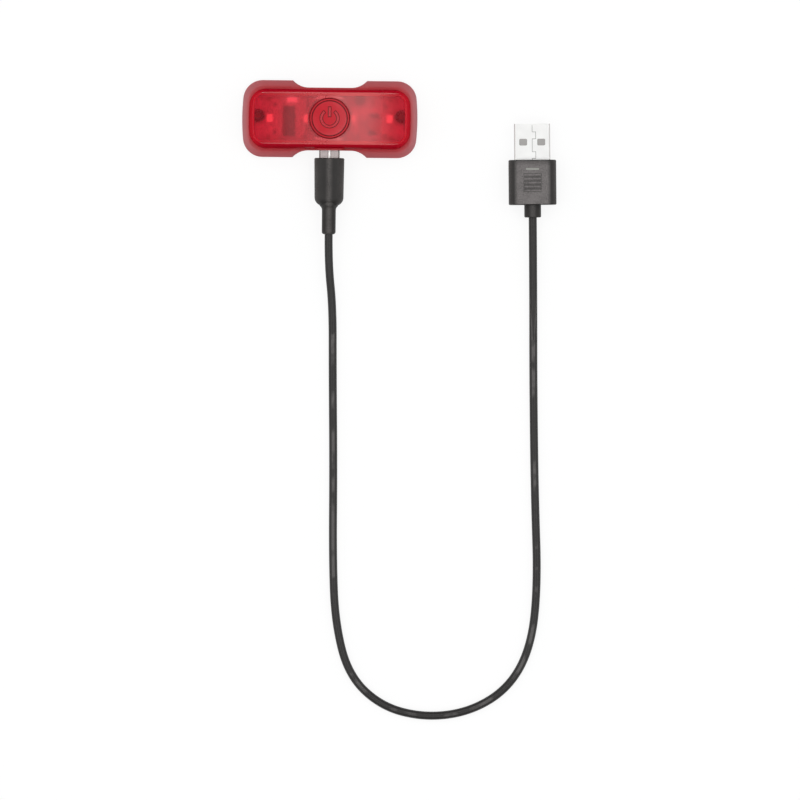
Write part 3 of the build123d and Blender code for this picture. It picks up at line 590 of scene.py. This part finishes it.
button, recipe = new_finish("red_button")
x, y, z = axes_on(recipe)
radius = (x * x + y * y).root()
symbol = symbol_distance(x, y, radius)
skin = noise(recipe, 0.3 * millimetre)
cloud = noise(recipe, 3 * millimetre)
groove = 1 - abs(radius - groove_radius).rise(*groove_line)
rim = radius.rise(rim_radius - 0.25, rim_radius - 0.1)
symbol_line = 1 - abs(symbol - symbol_side).rise(*symbol_side_line)
# The groove, the cap's outer edge and the symbol's sides are painted dark red, a painted shade.
painted_shade_lines = groove.larger(rim).larger(symbol_line)
crown = (0 - symbol).rise(0.0, crown_width)
dish_colour = recipe.mix(cloud, button_red, button_red_pale)
button_shader = recipe.surface(
    {
        "Base Color": recipe.mix(painted_shade_lines, dish_colour, button_shade_red),
        "Roughness": 0.11 + 0.12 * x.rise(-3.0, 3.0) + 0.06 * (cloud - 0.5),
        "IOR": plastic_ior,
        "Normal": bump(recipe, crown + 0.01 * skin, crown_depth),
    }
)
recipe.finish("Surface", button_shader)
dress(button, "button_cap")


# %% [markdown]
# ## Plain finishes
# Most small parts have a plain finish: two close colours in soft patches, a roughness that wanders a
# little, and a fine grain. One function makes them all, from the sizes and colours that tell them apart. The
# resin of the light sources and the charge indicator also get a faint painted glow.

# %% A plain finish
painted_glow_strength = 0.6


def plain_finish(name, dark, pale, patch, rough, grain, depth, metallic=0.0, glow=None):
    """A finish of two close colours, with an even grain. Patch, grain and depth are in millimetres."""
    material, recipe = new_finish(name)
    patches = noise(recipe, patch * millimetre)
    fine = noise(recipe, grain * millimetre)
    sockets = {
        "Base Color": recipe.mix(patches, (*dark, 1), (*pale, 1)),
        "Roughness": rough + 0.15 * (fine - 0.5),
        "Metallic": metallic,
        "Normal": bump(recipe, fine, depth * millimetre),
    }
    if glow:
        sockets.update({"Emission Color": glow, "Emission Strength": painted_glow_strength})
    recipe.finish("Surface", recipe.surface(sockets))
    return material


# %% The plain finishes
cover_red = plain_finish("cover_red", (0.36, 0.012, 0.018), (0.44, 0.018, 0.026), 4, 0.5, 0.25, 0.012)
seal_black = plain_finish("seal_black", (0.03, 0.03, 0.03), (0.045, 0.045, 0.045), 1.5, 0.6, 0.2, 0.006)
seal_red = plain_finish("seal_red", (0.35, 0.03, 0.04), (0.45, 0.05, 0.06), 1.5, 0.4, 0.2, 0.004)
screw_black = plain_finish("screw_black", (0.05, 0.05, 0.052), (0.1, 0.1, 0.1), 0.8, 0.4, 0.12, 0.004, 1.0)
package_white = plain_finish("package_white", (0.9, 0.9, 0.88), (0.97, 0.97, 0.95), 1.2, 0.4, 0.1, 0.002)
# The charge indicator and the resin of the light sources get a painted glow; neither is a lamp here.
indicator_painted_glow = plain_finish(
    "indicator_painted_glow", (0.9, 0.85, 0.8), (0.97, 0.92, 0.88), 1.2, 0.35, 0.1, 0.002, glow=(1.0, 0.4, 0.4, 1)
)
resin_yellow_painted_glow = plain_finish(
    "resin_yellow_painted_glow", (0.97, 0.8, 0.4), (1.0, 0.88, 0.5), 0.8, 0.25, 0.1, 0.002, glow=(1.0, 0.35, 0.35, 1)
)
plastic_black = plain_finish("plastic_black", (0.02, 0.02, 0.02), (0.035, 0.035, 0.035), 1, 0.5, 0.12, 0.004)
part_dark = plain_finish("part_dark", (0.03, 0.03, 0.03), (0.07, 0.065, 0.06), 0.7, 0.55, 0.08, 0.005)
ceramic_brown = plain_finish("ceramic_brown", (0.3, 0.18, 0.09), (0.45, 0.3, 0.17), 0.8, 0.4, 0.08, 0.003)
tin = plain_finish("tin", (0.62, 0.62, 0.6), (0.78, 0.78, 0.76), 0.6, 0.3, 0.1, 0.006, 1.0)
gold = plain_finish("gold", (0.82, 0.58, 0.24), (0.92, 0.7, 0.34), 0.8, 0.22, 0.08, 0.002, 1.0)
pouch_foil = plain_finish("pouch_foil", (0.62, 0.63, 0.65), (0.78, 0.79, 0.8), 3, 0.32, 1.2, 0.04, 1.0)
tape_amber = plain_finish("tape_amber", (0.55, 0.33, 0.05), (0.68, 0.43, 0.1), 3, 0.45, 0.4, 0.006)
mask_green = plain_finish("mask_green", (0.02, 0.16, 0.06), (0.04, 0.24, 0.1), 1.5, 0.35, 0.2, 0.004)
wire_red = plain_finish("wire_red", (0.5, 0.02, 0.02), (0.6, 0.035, 0.03), 1.5, 0.4, 0.2, 0.003)
wire_black = plain_finish("wire_black", (0.02, 0.02, 0.02), (0.035, 0.035, 0.035), 1.5, 0.4, 0.2, 0.003)
# The tongue's white plastic is painted grey, a painted shade, for the shade inside the shell.
shaded_white_plastic = plain_finish("shaded_white_plastic", (0.3, 0.29, 0.28), (0.35, 0.34, 0.33), 2, 0.45, 0.2, 0.004)

# %% Which piece has which plain finish
dress(cover_red, "rear_cover")
dress(seal_black, "cover_seal")
dress(seal_red, "button_seal")
dress(screw_black, "cover_screws")
dress(package_white, "led_packages")
dress(indicator_painted_glow, "charge_indicator")
dress(resin_yellow_painted_glow, "led_windows")
dress(plastic_black, "switch_base", "switch_plunger", "socket_tongue", "plug_insert")
dress(part_dark, "controller_chip", "power_inductor", "driver_transistors", "resistor_bodies")
dress(ceramic_brown, "capacitor_bodies")
dress(tin, "switch_dome", "switch_frame", "chip_legs", "transistor_pins", "solder_ends")
dress(gold, "socket_contacts", "plug_contacts", "usb_contacts")
dress(pouch_foil, "battery_cell")
dress(tape_amber, "battery_tape")
dress(mask_green, "battery_guard")
dress(wire_red, "battery_lead_red")
dress(wire_black, "battery_lead_black")
dress(shaded_white_plastic, "usb_tongue")

# %% [markdown]
# ## The circuit board
# The board is white, which is why the light looks bright red all over. Copper areas show through its paint
# as slightly greyer blocks, and tracks as fine lines. Two cell patterns on the same points give both without
# drawing each one: the cells of one are the blocks, and the borders of the other are the lines. Two large
# blocks right of the button, one bare and one over copper, are placed one by one.

# %% The circuit board
block_size = 4.5 * millimetre
border_width = 0.05
bare_block = ((12.5, 3.4), (5.0, 2.3))
copper_block = ((13.2, -2.6), (3.9, 2.9))
paint_dull = (0.82, 0.82, 0.78, 1)
paint_bright = (1.0, 1.0, 0.98, 1)
paint_bare = (1.0, 1.0, 1.0, 1)
paint_on_copper = (0.55, 0.55, 0.5, 1)
paint_on_track = (0.5, 0.5, 0.45, 1)

board, recipe = new_finish("board_white")
cells = {"Vector": steps_on(recipe, block_size), "Scale": 1.0}
blocks = recipe.node("ShaderNodeTexVoronoi", {"distance": "CHEBYCHEV"}, cells, out="Color")
shade = recipe.node("ShaderNodeSeparateXYZ", None, {0: blocks}, out="X")
borders = recipe.node("ShaderNodeTexVoronoi", {"feature": "DISTANCE_TO_EDGE"}, cells)
on_border = borders < border_width
patches = noise(recipe, 3 * millimetre)
tone = 0.15 + 0.8 * shade + 0.5 * (patches - 0.5)
paint = recipe.mix(tone.larger(0.0).smaller(1.0), paint_dull, paint_bright)
x, y, z = axes_on(recipe)
paint = recipe.mix(0.9 * within(x, y, *bare_block), paint, paint_bare)
paint = recipe.mix(0.8 * within(x, y, *copper_block), paint, paint_on_copper)
board_shader = recipe.surface(
    {
        "Base Color": recipe.mix(on_border * 0.3, paint, paint_on_track),
        "Roughness": 0.4 + 0.1 * patches,
        "Normal": bump(recipe, on_border, 0.02 * millimetre),
    }
)
recipe.finish("Surface", board_shader)
dress(board, "circuit_board")

# %% [markdown]
# ## Stamped plug shells
# Both plugs have a shell of plated steel strip. Rolling leaves faint streaks along the strip, which spread
# the reflection across them. Noise that is stretched along the plug gives the streaks, in roughness and in
# height. Both shells are painted darker along their bent edges, a painted shade. The small shell is polished
# and mirrors the darker opening overhead, and its colour is tinted red, a painted reflection of the red light
# beside it. A fold runs along its middle as a bright stripe, a painted highlight, between two dark seams.
# The large shell is satin nickel and gathers light from all round.

# %% A finish for plated steel strip
large_plug_foot = (67.78, -32.1)
large_plug_lean = 0.01777
bent_edge_shade = (0.16, 0.13, 0.125, 1)
bent_edge_starts = (0.55, 0.4)
bent_edge_stops = (0.1, 0.02)
stripe_half_width = (0.3, 0.4)
stripe_highlight = (1.0, 0.98, 0.96, 1)
seam_middle = 0.42
seam_line = (0.06, 0.16)
seam_colour = (0.08, 0.06, 0.06, 1)


def across_large_plug(x, y):
    """Millimetres to the right of the large plug's middle line."""
    return x - large_plug_foot[0] + large_plug_lean * (y - large_plug_foot[1])


def steel_finish(name, dark, pale, rough, half_width, edge_share, across, stripe):
    """Plated steel strip with streaks along Y, painted darker along its bent edges as a painted shade. The
    stripe number says how much rougher a painted highlight along its middle is, and 0 leaves the stripe out."""
    material, recipe = new_finish(name)
    streaks = noise(recipe, 0.12 * millimetre, stretch=(1, 25, 1))
    stains = noise(recipe, 2.5 * millimetre)
    colour = recipe.mix(stains, (*dark, 1), (*pale, 1))
    x, y, z = axes_on(recipe)
    side = abs(across(x, y))
    edge = side.rise(*(half_width - inset for inset in bent_edge_starts))
    edge = edge * (1 - side.rise(*(half_width - inset for inset in bent_edge_stops)))
    colour = recipe.mix(edge * edge_share, colour, bent_edge_shade)
    uneven = rough * (1 + 0.15 * (streaks - 0.5) + 0.1 * (stains - 0.5))
    if stripe:
        middle = 1 - side.rise(*stripe_half_width)
        seam = 1 - abs(side - seam_middle).rise(*seam_line)
        colour = recipe.mix(middle * 0.9, colour, stripe_highlight)
        colour = recipe.mix(seam * 0.7, colour, seam_colour)
        uneven = uneven + stripe * middle
    sockets = {
        "Base Color": colour,
        "Roughness": uneven,
        "Metallic": 1.0,
        "Normal": bump(recipe, streaks, 0.001 * millimetre),
    }
    recipe.finish("Surface", recipe.surface(sockets))
    return material


print("large plug leans", round(math.degrees(large_plug_lean), 2), "degrees")

# %% The plug shells
# The polished shell's colours are tinted red, a painted reflection of the red light beside it.
small_steel = steel_finish(
    "steel_polished", (0.86, 0.75, 0.74), (0.95, 0.84, 0.83), 0.255, 3.43, 0.75, lambda x, y: x, 0.2
)
large_steel = steel_finish(
    "steel_satin", (0.86, 0.86, 0.85), (0.92, 0.92, 0.91), 0.36, 6.0, 0.5, across_large_plug, 0
)
dress(small_steel, "plug_shell", "plug_latches")
dress(large_steel, "usb_shell", "socket_shell")

# %% [markdown]
# ## Black grips and jacket
# The grips and the cord's jacket are soft black plastic. The grips come out of a spark-eroded mould, so
# their skin has fine pits that catch the light as a mottled grey. The upper face of the large grip gets a
# paler painted sheen, while its rounded sides stay nearly black, and the ridge of the small grip gets a
# painted highlight. The recessed bar in that face is painted pale, a painted highlight. The jacket is
# pressed through a ring, so it is smoother, and its top gets painted highlights in patches.

# %% A finish for the grips
mark_centre = (67.5, -16.05)
mark_half_size = (2.3, 0.42)
mark_levels = (7.55, 7.85)
ribs_centre = (67.58, -20.6)
ribs_half_size = (3.0, 3.1)
ribs_level = 8.05
relief_start = -28.0
grip_black = (0.015, 0.014, 0.013, 1)
grip_black_pale = (0.023, 0.021, 0.02, 1)
# The recessed bar is painted pale, a painted highlight.
mark_highlight = (0.33, 0.335, 0.31, 1)


def grip_finish(name, sheen_colour, sheen_mask):
    """Black moulded plastic with a painted sheen of a paler colour where the sheen mask of a place (x, y, z)
    is high.
    """
    material, recipe = new_finish(name)
    pits = noise(recipe, 0.4 * millimetre, detail=5.0)
    fine = noise(recipe, 0.12 * millimetre)
    wear = noise(recipe, 4 * millimetre)
    x, y, z = axes_on(recipe)
    sheen = sheen_mask(x, y, z) * (0.45 + 1.6 * (pits - 0.5) + 0.6 * wear)
    black = recipe.mix(wear, grip_black, grip_black_pale)
    colour = recipe.mix(sheen.larger(0.0).smaller(1.0), black, (*sheen_colour, 1))
    on_mark = within(x, y, mark_centre, mark_half_size) * (z > mark_levels[0]) * (z < mark_levels[1])
    sockets = {
        "Base Color": recipe.mix(on_mark, colour, mark_highlight),
        "Roughness": 0.48 + 0.25 * (pits - 0.5),
        "Specular IOR Level": 0.25,
        "Normal": bump(recipe, pits * 0.7 + fine * 0.3, 0.04 * millimetre),
    }
    recipe.finish("Surface", recipe.surface(sockets))
    return material


print("mark:", 2 * mark_half_size[0], "by", 2 * mark_half_size[1], "mm")


# %% Where the grips get a painted sheen
def small_grip_sheen(x, y, z):
    """The small grip gets a painted highlight along the ridge of its upper face, and a little painted sheen
    along its sides.
    """
    ridge = (1 - abs(x).rise(0.1, 1.3)) * z.rise(6.6, 7.2)
    return ridge.larger(0.5 * abs(x).rise(2.4, 4.0))


def large_grip_sheen(x, y, z):
    """The large grip gets a painted sheen on its face, less towards its edges, with painted shade between its
    ribs, a painted highlight on the ridge of the cable relief and a little sheen on its sides.
    """
    shade_between_ribs = within(x, y, ribs_centre, ribs_half_size) * (z < ribs_level)
    side = abs(across_large_plug(x, y))
    face = (1 - 0.9 * side.rise(4.8, 6.1)) * (1 - 0.6 * y.rise(-15.2, -13.2))
    face = z.rise(7.93, 7.98) * face * (1 - 0.5 * shade_between_ribs)
    relief_ridge_highlight = (1 - side.rise(0.2, 1.2)) * (y < relief_start) * z.rise(5.2, 5.6)
    return face.larger(0.3 * relief_ridge_highlight).larger(0.2 * side.rise(6.4, 7.3))


dress(grip_finish("grip_small", (0.085, 0.078, 0.075), small_grip_sheen), "small_grip")
dress(grip_finish("grip_large", (0.175, 0.162, 0.16), large_grip_sheen), "large_grip")

# %% The jacket
jacket_black = (0.011, 0.01, 0.0095, 1)
jacket_black_pale = (0.019, 0.0175, 0.017, 1)
jacket_highlight = (0.1, 0.094, 0.092, 1)
jacket_top = (2.58, 2.72)
table_level_top = 2.8

jacket, recipe = new_finish("jacket_black")
drawn = noise(recipe, 0.3 * millimetre, detail=3.0)
wear = noise(recipe, 7 * millimetre)
x, y, z = axes_on(recipe)
black = recipe.mix(wear, jacket_black, jacket_black_pale)
# Patches along the top of the jacket get a painted highlight.
top_highlight = z.rise(*jacket_top) * (z < table_level_top) * wear.rise(0.5, 0.6)
jacket_shader = recipe.surface(
    {
        "Base Color": recipe.mix(top_highlight * (0.3 + 0.8 * drawn), black, jacket_highlight),
        "Roughness": 0.36 + 0.1 * (drawn - 0.5) + 0.06 * wear,
        "Specular IOR Level": 0.35,
        "Normal": bump(recipe, drawn, 0.01 * millimetre),
    }
)
recipe.finish("Surface", jacket_shader)
cord_curve.materials.append(jacket)
print("jacket on cord")

# %% [markdown]
# ## The last update
# The last cell brings the scene up to date.

# %% The last update
bpy.context.view_layer.update()
